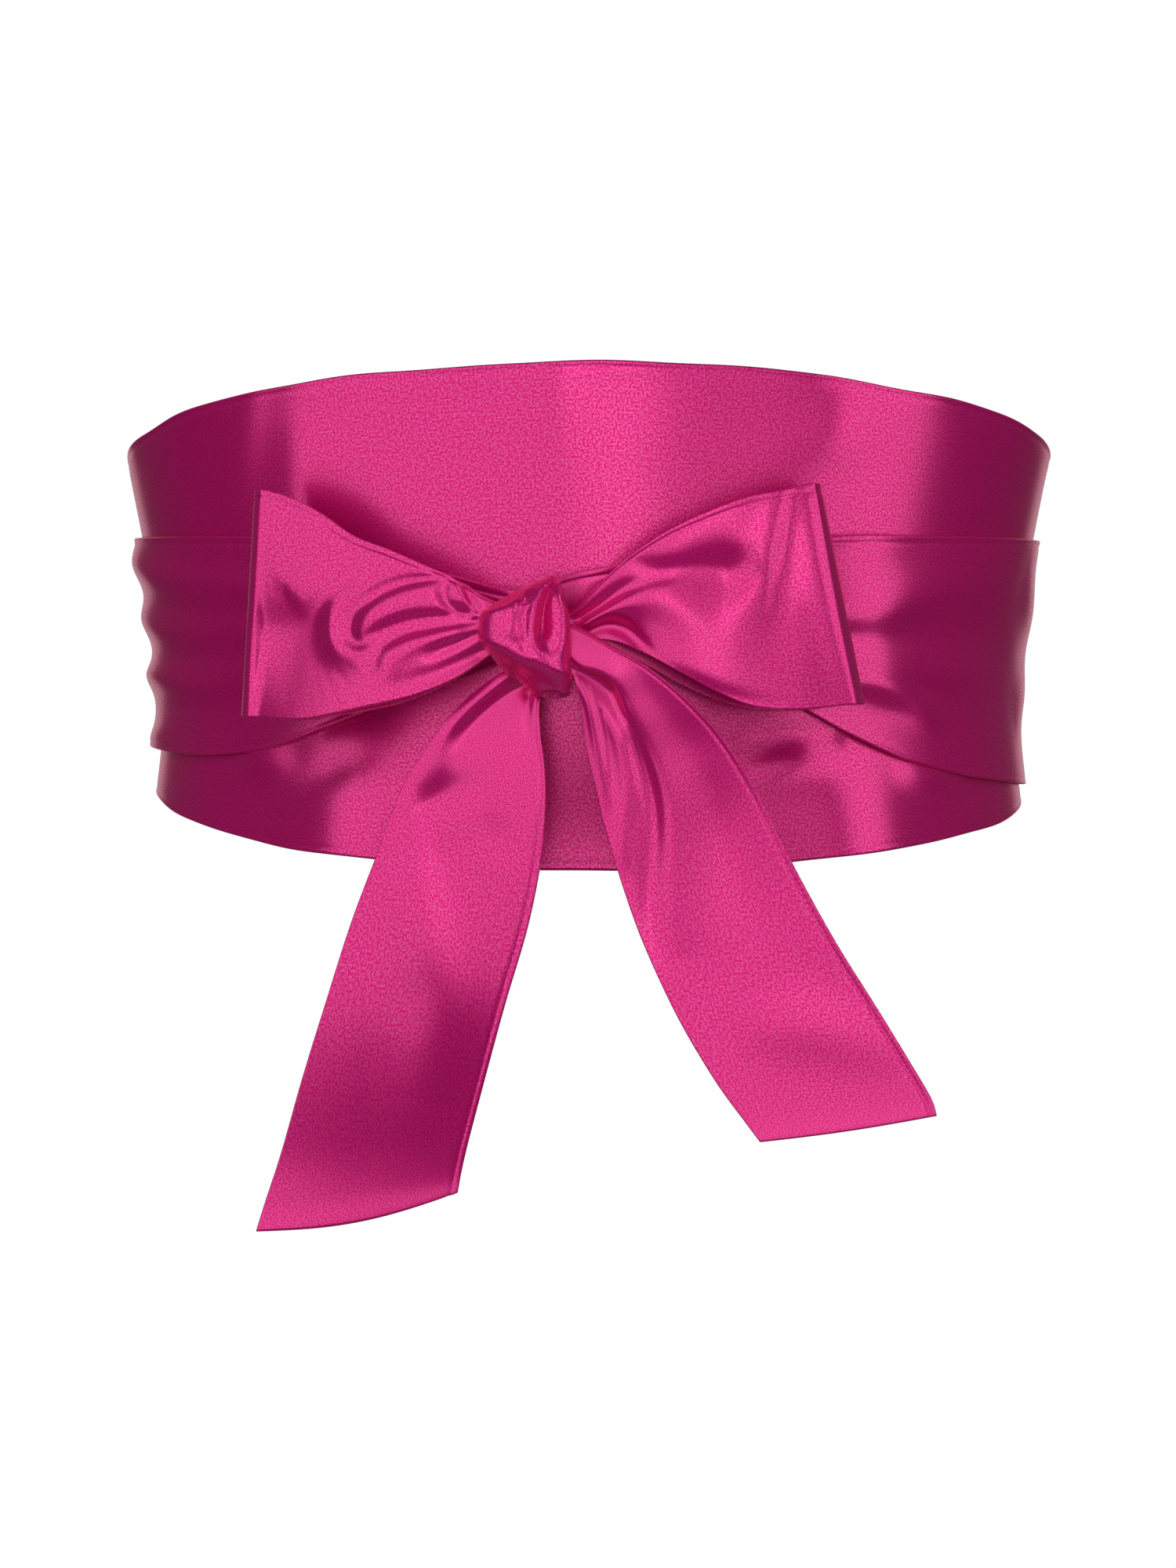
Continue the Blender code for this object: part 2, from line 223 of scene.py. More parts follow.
def satin(name):
    material = bpy.data.materials.new(name)
    material.use_nodes = True
    nodes, links = material.node_tree.nodes, material.node_tree.links
    shader = nodes["Principled BSDF"]
    shader.inputs["Metallic"].default_value = 0.5
    shader.inputs["IOR"].default_value = 1.7
    shader.inputs["Specular Tint"].default_value = (1.0, 0.15, 0.35, 1.0)
    shader.inputs["Anisotropic"].default_value = 0.5
    shader.inputs["Anisotropic Rotation"].default_value = 0.25
    shader.inputs["Coat Roughness"].default_value = 0.24
    shader.inputs["Coat IOR"].default_value = 1.75
    shader.inputs["Sheen Weight"].default_value = 0.08
    shader.inputs["Sheen Roughness"].default_value = 0.4
    shader.inputs["Sheen Tint"].default_value = (1.0, 0.5, 0.75, 1.0)
    cloth_uv = nodes.new("ShaderNodeUVMap")
    cloth_uv.uv_map = "cloth"
    threads = nodes.new("ShaderNodeTangent")
    threads.direction_type = "UV_MAP"
    threads.uv_map = "cloth"
    links.new(threads.outputs["Tangent"], shader.inputs["Tangent"])
    surface = nodes.new("ShaderNodeGroup")
    surface.node_tree = weave
    surface.inputs["Light Dye"].default_value = LIGHT_DYE
    surface.inputs["Deep Dye"].default_value = DEEP_DYE
    links.new(cloth_uv.outputs["UV"], surface.inputs["Cloth"])
    links.new(surface.outputs["Color"], shader.inputs["Base Color"])
    links.new(surface.outputs["Roughness"], shader.inputs["Roughness"])
    links.new(surface.outputs["Sparkle"], shader.inputs["Coat Weight"])
    bump = nodes.new("ShaderNodeBump")
    bump.inputs["Strength"].default_value = 0.08
    bump.inputs["Distance"].default_value = 0.00012
    links.new(surface.outputs["Height"], bump.inputs["Height"])
    links.new(bump.outputs["Normal"], shader.inputs["Normal"])
    return material


tie_satin = satin("tie satin")
panel_satin = satin("panel satin")
print("materials", tie_satin.name, "and", panel_satin.name)

# %% [markdown]
# ## From a flat grid to cloth
#
# `cloth` is the recipe for every stretch.  The grid's rows are crowded towards the two long edges,
# where the hem needs them.  Each point is placed on the piece's surface, then moved out along the
# surface's normal by the folds and by the seam lines, which run a little inside the edges.

# %% The cloth recipe
EDGE_CROWD = 0.72  # how much finer the grid is at the long edges than halfway, 0 to 1
SEAM_DEPTH = 0.3
SEAM_HALF = 0.45


def seam_line(edge, inset, strength=1.0):
    """A sewn line: a narrow groove that runs inset millimetres inside the edge."""
    return -strength * SEAM_DEPTH * np.exp(-(((edge - inset) / SEAM_HALF) ** 2))


def object_from(bm, name, material):
    """The finished mesh as an object of the scene, at the origin."""
    mesh = bpy.data.meshes.new(name)
    bm.to_mesh(mesh)
    bm.free()
    mesh.materials.append(material)
    made = bpy.data.objects.new(name, mesh)
    bpy.context.scene.collection.objects.link(made)
    return made


def round_off(piece):
    rounding = piece.modifiers.new("rounding", "SUBSURF")
    rounding.levels = rounding.render_levels = 1


def cloth(name, grid, size, wall, surface, lift, material, flip=False):
    """size is the flat (length, width) in mm; surface(along, up) places the cloth, and
    lift(place, along, up) is how far each point moves out of it.  flip turns the outer side round."""
    bm = bmesh.new()
    bmesh.ops.create_grid(bm, x_segments=grid[0], y_segments=grid[1], size=0.5)
    flat = np.array([vert.co[:2] for vert in bm.verts]) + 0.5
    along, up = flat[:, 0], flat[:, 1]
    up = up - EDGE_CROWD * np.sin(2 * np.pi * up) / (2 * np.pi)
    uv_layer = bm.loops.layers.uv.new("cloth")
    for face in bm.faces:
        for loop in face.loops:
            row = loop.vert.index
            loop[uv_layer].uv = (along[row] * size[0] * MM, up[row] * size[1] * MM)
    place = surface(along, up)
    for vert, point in zip(bm.verts, place):
        vert.co = point
    if flip:
        bmesh.ops.reverse_faces(bm, faces=bm.faces)
    bm.normal_update()
    rise = lift(place, along, up)
    for vert, amount in zip(bm.verts, rise):
        vert.co = (vert.co + vert.normal * amount) * MM
    piece = object_from(bm, name, material)
    piece.data.shade_smooth()
    thick = piece.modifiers.new("wall", "SOLIDIFY")
    thick.thickness = wall * MM
    thick.offset = -1.0
    thick.use_quality_normals = True
    round_off(piece)
    return piece


PANEL_WALL = 2.0
TIE_WALL = 1.4
print("the panel is", PANEL_WALL, "mm thick, the ties", TIE_WALL)

# %% [markdown]
# ## The front panel
#
# The panel is tallest at the centre front and tapers to the seams where the ties are sewn on.
# Its edges fall away with the cosine of the turn, which is how a shaped band looks when it is bent
# round.  Its top edge is turned over and stitched, so a fine line runs just under it.

# %% The panel's surface
PANEL_TOP = 69.0
PANEL_BOTTOM = -73.5
PANEL_END = 135.0
EDGE_TURN = 1.25
TOP_FALL = (17.6, 17.0)  # left, right
BOTTOM_RISE = (16.8, 14.3)
PANEL_LENGTH = 2 * PANEL_END * MM_PER_DEGREE
PANEL_TALL = 120.0  # on average, which is what the weave needs


def panel_edges(turn):
    fall = 1 - np.cos(np.radians(EDGE_TURN * turn))
    right = turn > 0
    low = PANEL_BOTTOM + np.where(right, BOTTOM_RISE[1], BOTTOM_RISE[0]) * fall
    high = PANEL_TOP - np.where(right, TOP_FALL[1], TOP_FALL[0]) * fall
    return low, high


RIM_WAVES = ((0.11, 0.4, 0.30), (0.23, 1.9, 0.22), (0.41, 0.8, 0.10))  # a degree, shift, mm
HEM_WAVES = 0.6  # the hem has the rim's waves from the other end, this much smaller
PUCKER_RISE = 0.25  # the stitching draws the upper rim in and out a little
PUCKER_OFTEN = 0.31
PUCKER_REACH = 4.0


def panel_surface(along, up):
    turn = mix(-PANEL_END, PANEL_END, along)
    low, high = panel_edges(turn)
    uneven = sum(size * np.sin(often * turn + shift) for often, shift, size in RIM_WAVES)
    return on_waist(turn, mix(low + HEM_WAVES * uneven[::-1], high + uneven, up), 0.0)


# crest points: turn round the waist in mm, height, rise, left, right
PANEL_FOLDS = (
    # the crease down the centre front
    ((-8.0, 70.0, 0.9, 5.0, 1.6), (-8.5, 58.0, 0.6, 6.0, 2.0), (-10.0, 40.0, 0.1, 8.0, 4.0)),
    # soft waves in the upper part
    ((40.0, 66.0, -0.7, 14.0, 16.0), (30.0, 40.0, -0.5, 12.0, 16.0)),
    ((58.0, 62.0, 0.0, 6.0, 8.0), (62.0, 50.0, 0.9, 8.0, 10.0), (60.0, 38.0, 0.0, 8.0, 10.0)),
    ((-84.0, 64.0, 0.4, 4.0, 5.0), (-92.0, 44.0, 0.4, 5.0, 6.0), (-98.0, 26.0, 0.1, 5.0, 6.0)),
    ((-70.0, 60.0, 0.2, 6.0, 6.0), (-74.0, 40.0, 0.6, 6.0, 6.0), (-80.0, 24.0, 0.1, 6.0, 6.0)),
    # the knot draws the cloth in below it
    (
        (-30.0, -78.0, -2.0, 30.0, 20.0),
        (-12.0, -78.0, -6.5, 34.0, 20.0),
        (14.0, -78.0, -5.0, 32.0, 20.0),
        (28.0, -78.0, 0.0, 30.0, 20.0),
    ),
    # folds under the right tie
    ((66.0, -36.0, -1.8, 3.5, 3.0), (46.0, -38.0, -1.7, 4.0, 3.0), (30.0, -44.0, 0.0, 4.0, 4.0)),
    ((74.0, -40.0, 0.0, 3.0, 4.0), (56.0, -43.0, 1.5, 3.0, 5.0), (36.0, -50.0, 0.0, 4.0, 6.0)),
    ((118.0, -46.0, 0.0, 5.0, 4.0), (96.0, -46.0, 1.4, 5.0, 3.0), (84.0, -44.0, 0.0, 3.0, 3.0)),
    # and under the left one, where the cloth turns away early
    (
        (-64.0, -26.0, 0.0, 12.0, 26.0),
        (-60.0, -44.0, 4.4, 14.0, 25.0),
        (-57.0, -60.0, 6.4, 16.0, 24.0),
        (-57.0, -82.0, 6.4, 16.0, 24.0),
    ),
    ((70.0, -38.0, 0.0, 18.0, 16.0), (72.0, -56.0, 2.6, 20.0, 16.0), (74.0, -82.0, 3.0, 20.0, 16.0)),
    ((-104.0, -41.0, 0.0, 6.0, 6.0), (-92.0, -42.0, 1.6, 6.0, 5.0), (-80.0, -43.0, 0.0, 5.0, 5.0)),
    ((-80.0, -50.0, -0.4, 5.0, 4.0), (-66.0, -45.0, -1.6, 6.0, 5.0), (-52.0, -38.0, 0.0, 5.0, 5.0)),
)


def panel_lift(place, along, up):
    turn = mix(-PANEL_END, PANEL_END, along)
    low, high = panel_edges(turn)
    folds = relief(PANEL_FOLDS, turn * MM_PER_DEGREE, place[:, 2])
    from_hem = up * (high - low)
    from_rim = (1 - up) * (high - low)
    pucker = PUCKER_RISE * np.sin(turn * PUCKER_OFTEN) * np.exp(-((from_rim / PUCKER_REACH) ** 2))
    seams = seam_line(from_rim, inset=1.7) + seam_line(from_hem, inset=1.5, strength=0.6)
    return folds + pucker + seams


panel = cloth(
    "front_panel_satin",
    grid=(180, 46),
    size=(PANEL_LENGTH, PANEL_TALL),
    wall=PANEL_WALL,
    surface=panel_surface,
    lift=panel_lift,
    material=panel_satin,
)
print(panel.name, len(panel.data.vertices), "points before rounding")

# %% [markdown]
# ## The ties round the waist
#
# Each tie starts at a seam behind the waist, passes the other tie, and comes forward over the panel,
# where it is drawn together into the knot.  A table gives its edges and how far it stands off.
# The pull of the knot gathers it into folds that fan out from there.

# %% The ties' tables
# turn, lower edge, upper edge, how far the outer face stands off the waist form
RIGHT_WRAP = (
    (-134.6, -40.0, 34.0, 0.0),
    (-152.0, -39.0, 22.0, 0.0),
    (-164.0, -38.0, 4.0, 0.0),
    (-172.0, -37.5, -2.8, 0.0),
    (-180.0, -38.0, -2.8, 1.1),
    (-188.0, -39.0, -2.8, 2.1),
    (-196.0, -41.0, 2.0, 2.1),
    (-210.0, -44.0, 21.0, 2.1),
    (-232.0, -47.0, 25.0, 2.1),
    (-270.0, -49.2, 21.8, 2.1),
    (-300.0, -47.2, 21.4, 2.1),
    (-315.0, -42.1, 21.1, 2.3),
    (-325.0, -34.4, 20.9, 2.8),
    (-335.0, -24.4, 19.2, 3.6),
    (-345.0, -17.6, 16.4, 5.0),
    (-355.0, -13.4, 12.6, 6.8),
    (-361.6, -10.6, 9.6, 8.2),
    (-365.5, -9.0, 7.0, 11.5),
)
LEFT_WRAP = (
    (134.6, -45.0, 35.0, 0.0),
    (152.0, -30.0, 34.5, 0.0),
    (164.0, -12.0, 33.5, 0.0),
    (172.0, -3.8, 32.5, 0.0),
    (180.0, -3.8, 32.0, 1.1),
    (188.0, -3.8, 31.5, 2.1),
    (196.0, -9.0, 31.0, 2.1),
    (210.0, -28.0, 29.5, 2.1),
    (232.0, -37.0, 26.0, 2.1),
    (270.0, -38.2, 22.7, 2.1),
    (300.0, -40.9, 21.6, 2.1),
    (315.0, -38.8, 20.8, 2.3),
    (325.0, -32.6, 18.6, 2.8),
    (335.0, -25.6, 14.5, 4.0),
    (343.5, -20.4, 9.0, 6.4),
    (351.5, -14.5, 4.5, 12.0),
)


def along_wrap(rows, along):
    """The turn, both edges and the stand-off at each share, 0 to 1, of the tie's turn."""
    turn = mix(rows[0][0], rows[-1][0], along)
    turns = np.array([row[0] for row in rows])
    shares = np.linspace(0, 1, len(rows))
    order = np.argsort(turns)
    low, high, out = smooth(rows, np.interp(turn, turns[order], shares[order])).T[1:]
    return turn, low, high, out


def wrap_surface(rows):
    def surface(along, up):
        turn, low, high, out = along_wrap(rows, along)
        return on_waist(turn, mix(low, high, up), out)

    return surface


def wrap_lift(rows, folds, whole_turn):
    """whole_turn, in degrees, brings the front stretch to the turns that its folds are given in."""

    def lift(place, along, up):
        turn, low, high, _ = along_wrap(rows, along)
        folded = relief(folds, (turn + whole_turn) * MM_PER_DEGREE, place[:, 2])
        upper = seam_line((1 - up) * (high - low), inset=2.0)
        lower = seam_line(up * (high - low), inset=1.6, strength=0.5)
        return folded + upper + lower

    return lift


# crest points: mm round the waist from the centre front, height, rise, left, right
RIGHT_WRAP_FOLDS = (
    (
        (72.0, 18.0, 1.6, 18.0, 14.0),
        (74.0, 2.0, 1.8, 18.0, 14.0),
        (80.0, -14.0, 1.4, 18.0, 14.0),
        (84.0, -28.0, 0.0, 16.0, 14.0),
    ),
    (
        (20.0, 4.0, 1.0, 4.0, 3.0),
        (70.0, -2.0, 1.6, 8.0, 4.0),
        (100.0, 5.0, 1.2, 10.0, 6.0),
        (150.0, 8.0, 0.0, 12.0, 9.0),
    ),
    (
        (30.0, -10.0, 1.0, 3.0, 3.0),
        (72.0, -14.0, 1.4, 4.0, 3.0),
        (96.0, -18.0, 1.2, 6.0, 4.0),
        (130.0, -16.0, 0.0, 9.0, 8.0),
    ),
    (
        (50.0, -18.0, 1.0, 3.0, 3.0),
        (76.0, -20.0, 2.2, 2.2, 4.5),
        (92.0, -25.0, 2.2, 2.4, 5.0),
        (106.0, -33.0, 0.0, 4.0, 6.0),
    ),
    ((150.0, -30.0, 0.0, 9.0, 7.0), (172.0, -22.0, 1.4, 9.0, 7.0), (190.0, -16.0, 0.0, 9.0, 7.0)),
    ((146.0, 10.0, 0.0, 9.0, 8.0), (170.0, 0.0, 1.6, 10.0, 9.0), (200.0, -4.0, 0.0, 10.0, 9.0)),
)
LEFT_WRAP_FOLDS = (
    (
        (-60.0, 6.0, 0.8, 4.0, 4.0),
        (-120.0, 8.0, 1.0, 6.0, 5.0),
        (-168.0, 15.0, 2.4, 6.0, 4.5),
        (-230.0, 16.0, 0.0, 9.0, 8.0),
    ),
    (
        (-60.0, -4.0, 0.8, 4.0, 4.0),
        (-120.0, -6.0, 1.0, 5.0, 5.0),
        (-168.0, -1.0, 2.6, 5.0, 4.0),
        (-220.0, 2.0, 0.0, 8.0, 8.0),
    ),
    (
        (-40.0, -12.0, 0.8, 4.0, 4.0),
        (-110.0, -20.0, 1.0, 5.0, 5.0),
        (-166.0, -17.0, 3.0, 4.5, 3.0),
        (-230.0, -20.0, 0.0, 8.0, 8.0),
    ),
    ((-130.0, -34.0, 0.0, 5.0, 4.0), (-166.0, -36.0, 1.4, 5.0, 4.0), (-220.0, -36.0, 0.0, 6.0, 6.0)),
)
print("tables of", len(RIGHT_WRAP), "and", len(LEFT_WRAP), "rows")


# %% The ties round the waist
WRAP_WIDTH = 62.0


def wrap(name, rows, folds, whole_turn, flip):
    length = abs(rows[-1][0] - rows[0][0]) * MM_PER_DEGREE
    piece = cloth(
        name,
        grid=(210, 36),
        size=(length, WRAP_WIDTH),
        wall=TIE_WALL,
        surface=wrap_surface(rows),
        lift=wrap_lift(rows, folds, whole_turn),
        material=tie_satin,
        flip=flip,
    )
    print(name, "is", round(length), "mm long")
    return piece


wrap_right = wrap("tie_wrap_right_satin", RIGHT_WRAP, RIGHT_WRAP_FOLDS, 360.0, True)
wrap_left = wrap("tie_wrap_left_satin", LEFT_WRAP, LEFT_WRAP_FOLDS, -360.0, False)

# %% [markdown]
# ## The bow's loops
#
# A loop is one band that leaves the knot, turns back at its outer end and returns behind.  Its table
# goes from the knot outwards: the lower and the upper edge of the front layer in the front view,
# the depth of both layers, and how much lower the back layer hangs.  The front layer carries the
# folds.

# %% The loops' tables
# low side, low, its depth, high side, high, its depth, the back layer's depth, its drop
LEFT_LOOP = (
    (-26.0, -12.5, -111.5, -24.0, 0.5, -111.5, -106.5, 0.4),
    (-31.5, -16.5, -113.5, -30.5, 3.6, -112.6, -105.5, 0.4),
    (-38.5, -20.6, -114.6, -37.2, 8.0, -112.6, -103.6, 0.6),
    (-49.0, -24.6, -114.6, -45.0, 11.6, -111.2, -101.0, 1.2),
    (-60.0, -27.0, -112.6, -55.5, 16.2, -108.2, -97.4, 1.6),
    (-71.0, -29.2, -108.8, -65.5, 20.2, -104.4, -93.4, 1.2),
    (-80.0, -30.8, -104.2, -75.0, 26.6, -100.4, -89.6, 0.6),
    (-87.0, -30.8, -99.2, -82.0, 30.4, -97.2, -86.6, 0.2),
    (-93.4, -30.4, -93.6, -90.4, 33.2, -93.8, -83.0, 0.0),
)
LEFT_FOLD = (-97.3, -93.6)  # where the band turns back, at its lower and its upper edge
RIGHT_LOOP = (
    (-9.0, -8.6, -108.0, -9.0, -2.4, -108.0, -104.0, 1.0),
    (-2.0, -9.4, -109.6, -3.0, -0.6, -109.6, -103.6, 1.4),
    (6.0, -9.2, -111.0, 3.4, 6.4, -111.0, -103.0, 2.4),
    (14.0, -12.0, -112.4, 10.8, 13.4, -112.4, -102.0, 3.0),
    (25.0, -18.0, -113.4, 21.6, 20.8, -113.6, -100.2, 3.2),
    (36.0, -23.8, -113.4, 33.0, 26.2, -113.8, -98.0, 2.2),
    (47.0, -27.8, -112.0, 44.2, 30.4, -112.8, -95.0, 0.8),
    (60.0, -28.4, -109.2, 54.6, 32.6, -110.6, -91.6, 0.2),
    (73.0, -27.0, -105.0, 62.4, 34.6, -107.6, -88.4, 0.0),
)
RIGHT_FOLD = (77.4, 65.0)
FRONT_SHARE = 0.44  # of the band's length lies in front, as much behind, and the rest turns
LOOP_WIDTH = 60.0


def loop_surface(rows, fold_edge):
    def layer(share, up, in_front):
        low_side, low, low_depth, high_side, high, high_depth, back, drop = smooth(rows, share).T
        side = mix(low_side, high_side, up)
        height = mix(low, high, up)
        if in_front:
            return np.stack([side, mix(low_depth, high_depth, up), height], 1)
        return np.stack([side, back, height - drop], 1)

    def surface(along, up):
        front = layer(along / FRONT_SHARE, up, True)
        back = layer((1 - along) / FRONT_SHARE, up, False)
        turned = np.clip((along - FRONT_SHARE) / (1 - 2 * FRONT_SHARE), 0, 1)[:, None]
        share = 0.5 - 0.5 * np.cos(np.pi * turned)
        place = np.where(along[:, None] <= 0.5, front, back)
        turning = (along > FRONT_SHARE) & (along < 1 - FRONT_SHARE)
        bend = mix(front, back, share)
        bend[:, 0] += (mix(*fold_edge, up) - bend[:, 0]) * np.sin(np.pi * turned[:, 0])
        place[turning] = bend[turning]
        return place

    return surface


# crest points: side, height, rise, left, right
LEFT_LOOP_FOLDS = (
    # the wide hollow below the upper plane
    (
        (-98.0, -10.0, -2.6, 9.0, 20.0),
        (-88.0, -8.0, -4.2, 9.0, 24.0),
        (-79.0, -5.4, -4.2, 8.0, 22.0),
        (-73.0, 0.4, -2.6, 5.0, 10.0),
        (-67.0, 7.4, -1.0, 3.0, 3.0),
        (-60.0, 12.6, 0.0, 3.0, 3.0),
    ),
    # the ridge that bends like a C, open to the right
    (
        (-60.4, 10.4, 0.1, 2.4, 1.6),
        (-66.6, 6.2, 0.6, 2.6, 1.8),
        (-70.8, 1.0, 1.4, 2.6, 2.4),
        (-72.6, -5.0, 2.0, 2.8, 3.0),
        (-71.0, -10.4, 1.8, 2.8, 4.0),
        (-65.0, -13.4, 1.0, 3.0, 4.0),
        (-58.0, -13.6, 0.3, 3.0, 4.0),
    ),
    # the groove inside it
    (
        (-40.8, 8.0, -0.9, 1.3, 1.3),
        (-46.2, 7.6, -1.3, 1.5, 1.6),
        (-53.3, 6.2, -1.6, 1.7, 1.8),
        (-59.6, 3.2, -1.7, 1.7, 1.9),
        (-65.0, -1.4, -1.6, 1.6, 1.9),
        (-67.0, -6.6, -1.6, 1.6, 1.9),
        (-64.0, -9.7, -1.7, 1.5, 1.9),
        (-58.6, -7.1, -1.7, 1.5, 1.9),
        (-52.0, -4.2, -1.6, 1.4, 1.8),
        (-44.0, -2.9, -1.5, 1.2, 1.6),
        (-34.0, -2.2, -1.2, 0.9, 1.2),
    ),
    # the puff inside the groove
    (
        (-38.0, 2.6, 0.4, 3.0, 3.0),
        (-48.0, 2.2, 1.0, 3.4, 4.0),
        (-58.0, -1.6, 0.9, 3.0, 3.2),
        (-65.0, -5.0, 0.1, 2.0, 2.0),
    ),
    # the next groove down, and the puff under it
    (
        (-59.4, -16.4, -0.5, 2.4, 2.0),
        (-58.0, -11.4, -1.2, 2.0, 2.0),
        (-51.5, -7.4, -1.5, 1.6, 1.9),
        (-45.0, -6.0, -1.5, 1.3, 1.7),
        (-37.0, -4.8, -1.2, 1.0, 1.2),
        (-31.0, -3.8, -1.0, 0.8, 1.0),
    ),
    (
        (-36.0, -6.6, 0.6, 1.4, 1.6),
        (-46.0, -9.6, 1.2, 2.4, 3.0),
        (-54.0, -14.0, 1.2, 3.0, 3.6),
        (-58.0, -20.0, 0.2, 4.0, 4.0),
    ),
    # a short groove by the knot
    (
        (-46.0, -15.0, 0.0, 1.6, 1.6),
        (-41.0, -12.0, -1.2, 1.4, 1.6),
        (-36.0, -10.0, -1.4, 1.1, 1.4),
        (-31.0, -7.8, -1.0, 0.9, 1.0),
    ),
    # the small pleat at the upper edge: a lens between two creases
    (
        (-37.4, 8.6, -0.4, 0.8, 0.8),
        (-40.2, 4.6, -1.3, 0.9, 1.1),
        (-38.6, 0.6, -1.4, 0.9, 1.1),
        (-33.4, -1.8, -1.0, 0.8, 0.8),
    ),
    ((-36.4, 8.4, -0.2, 0.7, 0.7), (-33.4, 4.0, -1.2, 0.8, 0.8), (-30.8, -1.0, -1.2, 0.8, 0.8)),
    ((-37.4, 5.6, 0.7, 1.4, 1.4), (-34.6, 1.4, 0.9, 1.2, 1.2)),
    # the lower part runs back into the knot
    (
        (-30.0, -13.0, -1.6, 2.0, 2.4),
        (-42.0, -18.6, -1.5, 3.0, 3.0),
        (-54.0, -23.0, -0.9, 3.4, 3.4),
        (-66.0, -27.0, 0.0, 3.0, 3.0),
    ),
    # the soft line under the upper edge
    (
        (-76.0, 26.0, -0.2, 2.0, 1.6),
        (-66.0, 20.6, -0.9, 2.6, 1.8),
        (-52.0, 15.0, -0.9, 2.6, 1.8),
        (-38.0, 9.6, -0.6, 1.6, 1.4),
    ),
)
RIGHT_LOOP_FOLDS = (
    # the upper band turns back from the puff below it
    (
        (-3.0, -3.8, -1.8, 1.5, 1.2),
        (3.0, -0.4, -2.2, 2.0, 1.5),
        (9.0, 3.6, -1.6, 2.6, 2.0),
        (16.0, 6.2, -0.8, 3.0, 2.6),
        (24.0, 7.4, 0.0, 3.4, 3.4),
    ),
    # the soft dent, deepest at its outer end
    (
        (12.0, 12.6, -0.4, 1.6, 2.0),
        (22.0, 9.4, -1.6, 4.0, 5.0),
        (33.0, 8.6, -3.4, 7.0, 8.0),
        (40.0, 8.6, -3.4, 7.0, 7.0),
        (47.0, 7.6, -0.6, 4.0, 5.0),
    ),
    (
        (54.0, 34.0, 0.4, 3.0, 4.0),
        (51.6, 24.0, 0.8, 3.0, 4.0),
        (49.6, 14.0, 0.8, 2.6, 4.0),
        (48.0, 4.0, 0.2, 3.0, 4.0),
    ),
    (
        (-1.0, -4.6, 1.2, 1.2, 1.8),
        (5.0, -0.8, 1.8, 1.6, 3.0),
        (14.0, 3.0, 1.8, 2.6, 6.0),
        (27.0, 5.2, 1.4, 3.4, 12.0),
        (38.0, 4.0, 0.4, 5.0, 14.0),
    ),
    # the dark pocket under it
    (
        (-1.0, -7.2, -1.4, 1.0, 1.8),
        (5.0, -4.8, -2.2, 2.0, 2.6),
        (10.0, -6.4, -2.6, 2.8, 2.4),
        (15.0, -11.0, -2.0, 3.0, 2.2),
        (19.0, -15.0, -0.8, 3.0, 2.0),
    ),
    # a faint hollow between two upright crests by the outer end
    (
        (57.0, 32.0, -0.3, 3.0, 3.0),
        (56.0, 18.0, -1.0, 4.0, 3.4),
        (54.0, 4.0, -1.2, 5.0, 4.6),
        (52.0, -10.0, -0.6, 6.0, 6.0),
    ),
    (
        (60.0, 30.0, 0.3, 2.4, 2.6),
        (63.0, 14.0, 0.9, 3.0, 3.4),
        (67.0, -4.0, 0.9, 3.4, 3.4),
        (71.0, -20.0, 0.3, 3.0, 3.0),
    ),
    # the lower edge turns under
    ((22.0, -17.0, -0.6, 2.0, 2.0), (36.0, -24.4, -1.0, 3.0, 2.4), (52.0, -28.0, -0.4, 3.0, 2.4)),
)


def loop_lift(folds):
    """The folds are the front layer's; they fade out where the band turns back."""

    def lift(place, along, up):
        front = np.clip((0.5 - along) / (0.5 - FRONT_SHARE), 0, 1)
        folded = front * relief(folds, place[:, 0], place[:, 2])
        return folded + seam_line(LOOP_WIDTH * (1 - up), inset=2.2)

    return lift


print("tables of", len(LEFT_LOOP), "and", len(RIGHT_LOOP), "rows")


# %% The loops
def bow_loop(name, rows, fold_edge, folds, flip):
    length = 2 * abs(fold_edge[0] - rows[0][0])
    piece = cloth(
        name,
        grid=(110, 44),
        size=(length, LOOP_WIDTH),
        wall=TIE_WALL,
        surface=loop_surface(rows, fold_edge),
        lift=loop_lift(folds),
        material=tie_satin,
        flip=flip,
    )
    print(name, "is a band", round(length), "mm long")
    return piece


loop_left = bow_loop("bow_loop_left_satin", LEFT_LOOP, LEFT_FOLD, LEFT_LOOP_FOLDS, True)
loop_right = bow_loop("bow_loop_right_satin", RIGHT_LOOP, RIGHT_FOLD, RIGHT_LOOP_FOLDS, False)

# %% [markdown]
# ## The tails
#
# A tail is a band with a slanted end.  Its table gives both edges in the front view, each with its
# height and depth, so that it can lean, narrow and twist.  The table is the back of the cloth: the
# front is a wall's thickness nearer, with the folds raised on it.

